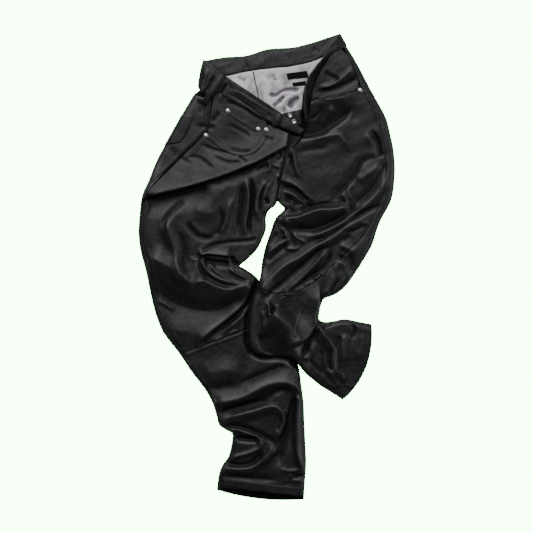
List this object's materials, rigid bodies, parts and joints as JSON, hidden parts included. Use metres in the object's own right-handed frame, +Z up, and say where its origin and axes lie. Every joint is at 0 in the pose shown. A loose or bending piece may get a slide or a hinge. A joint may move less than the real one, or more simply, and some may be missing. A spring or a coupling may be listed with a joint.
{
  "type": "jeans",
  "caption": "Loose five-pocket leather jeans laid down flat, waist open on a pale lining, one knee bent so that its shin crosses over the other leg.",
  "frame": {"origin": "middle of the garment's outline, on the surface it lies on", "axes": "+Z up from the surface, +Y towards the waist, +X to the right as seen from above with the waist at the top, which is the wearer's left"},
  "size_m": [0.513, 0.9308, 0.0394],
  "materials": {
    "leather": "black nappa leather with a soft gloss and fine creases",
    "lining": "pale lilac-grey satin lining",
    "label": "black woven label, bare",
    "metal": "polished silver-coloured rivets and buttons"
  },
  "bodies": {
    "root": {"back_right": "leather", "back_left": "leather", "front_right": "leather", "front_left": "leather", "shin_right": "leather", "shin_left": "leather", "pocket_facing_right": "leather", "pocket_facing_left": "leather", "coin_pocket": "leather", "back_pocket": "leather", "fly_flap": "leather", "button_stand": "leather", "waistband_right": "leather", "waistband_left": "leather", "waistband_back": "leather", "belt_loop_side": "leather", "belt_loop_front": "leather", "lining_right": "lining", "lining_left": "lining", "label_large": "label", "label_small": "label", "rivet_coin_outer": "metal", "rivet_coin_inner": "metal", "rivet_pocket_front": "metal", "rivet_pocket_side": "metal", "rivet_left_pocket": "metal", "fly_button_upper": "metal", "fly_button_lower": "metal"}
  },
  "joints": []
}
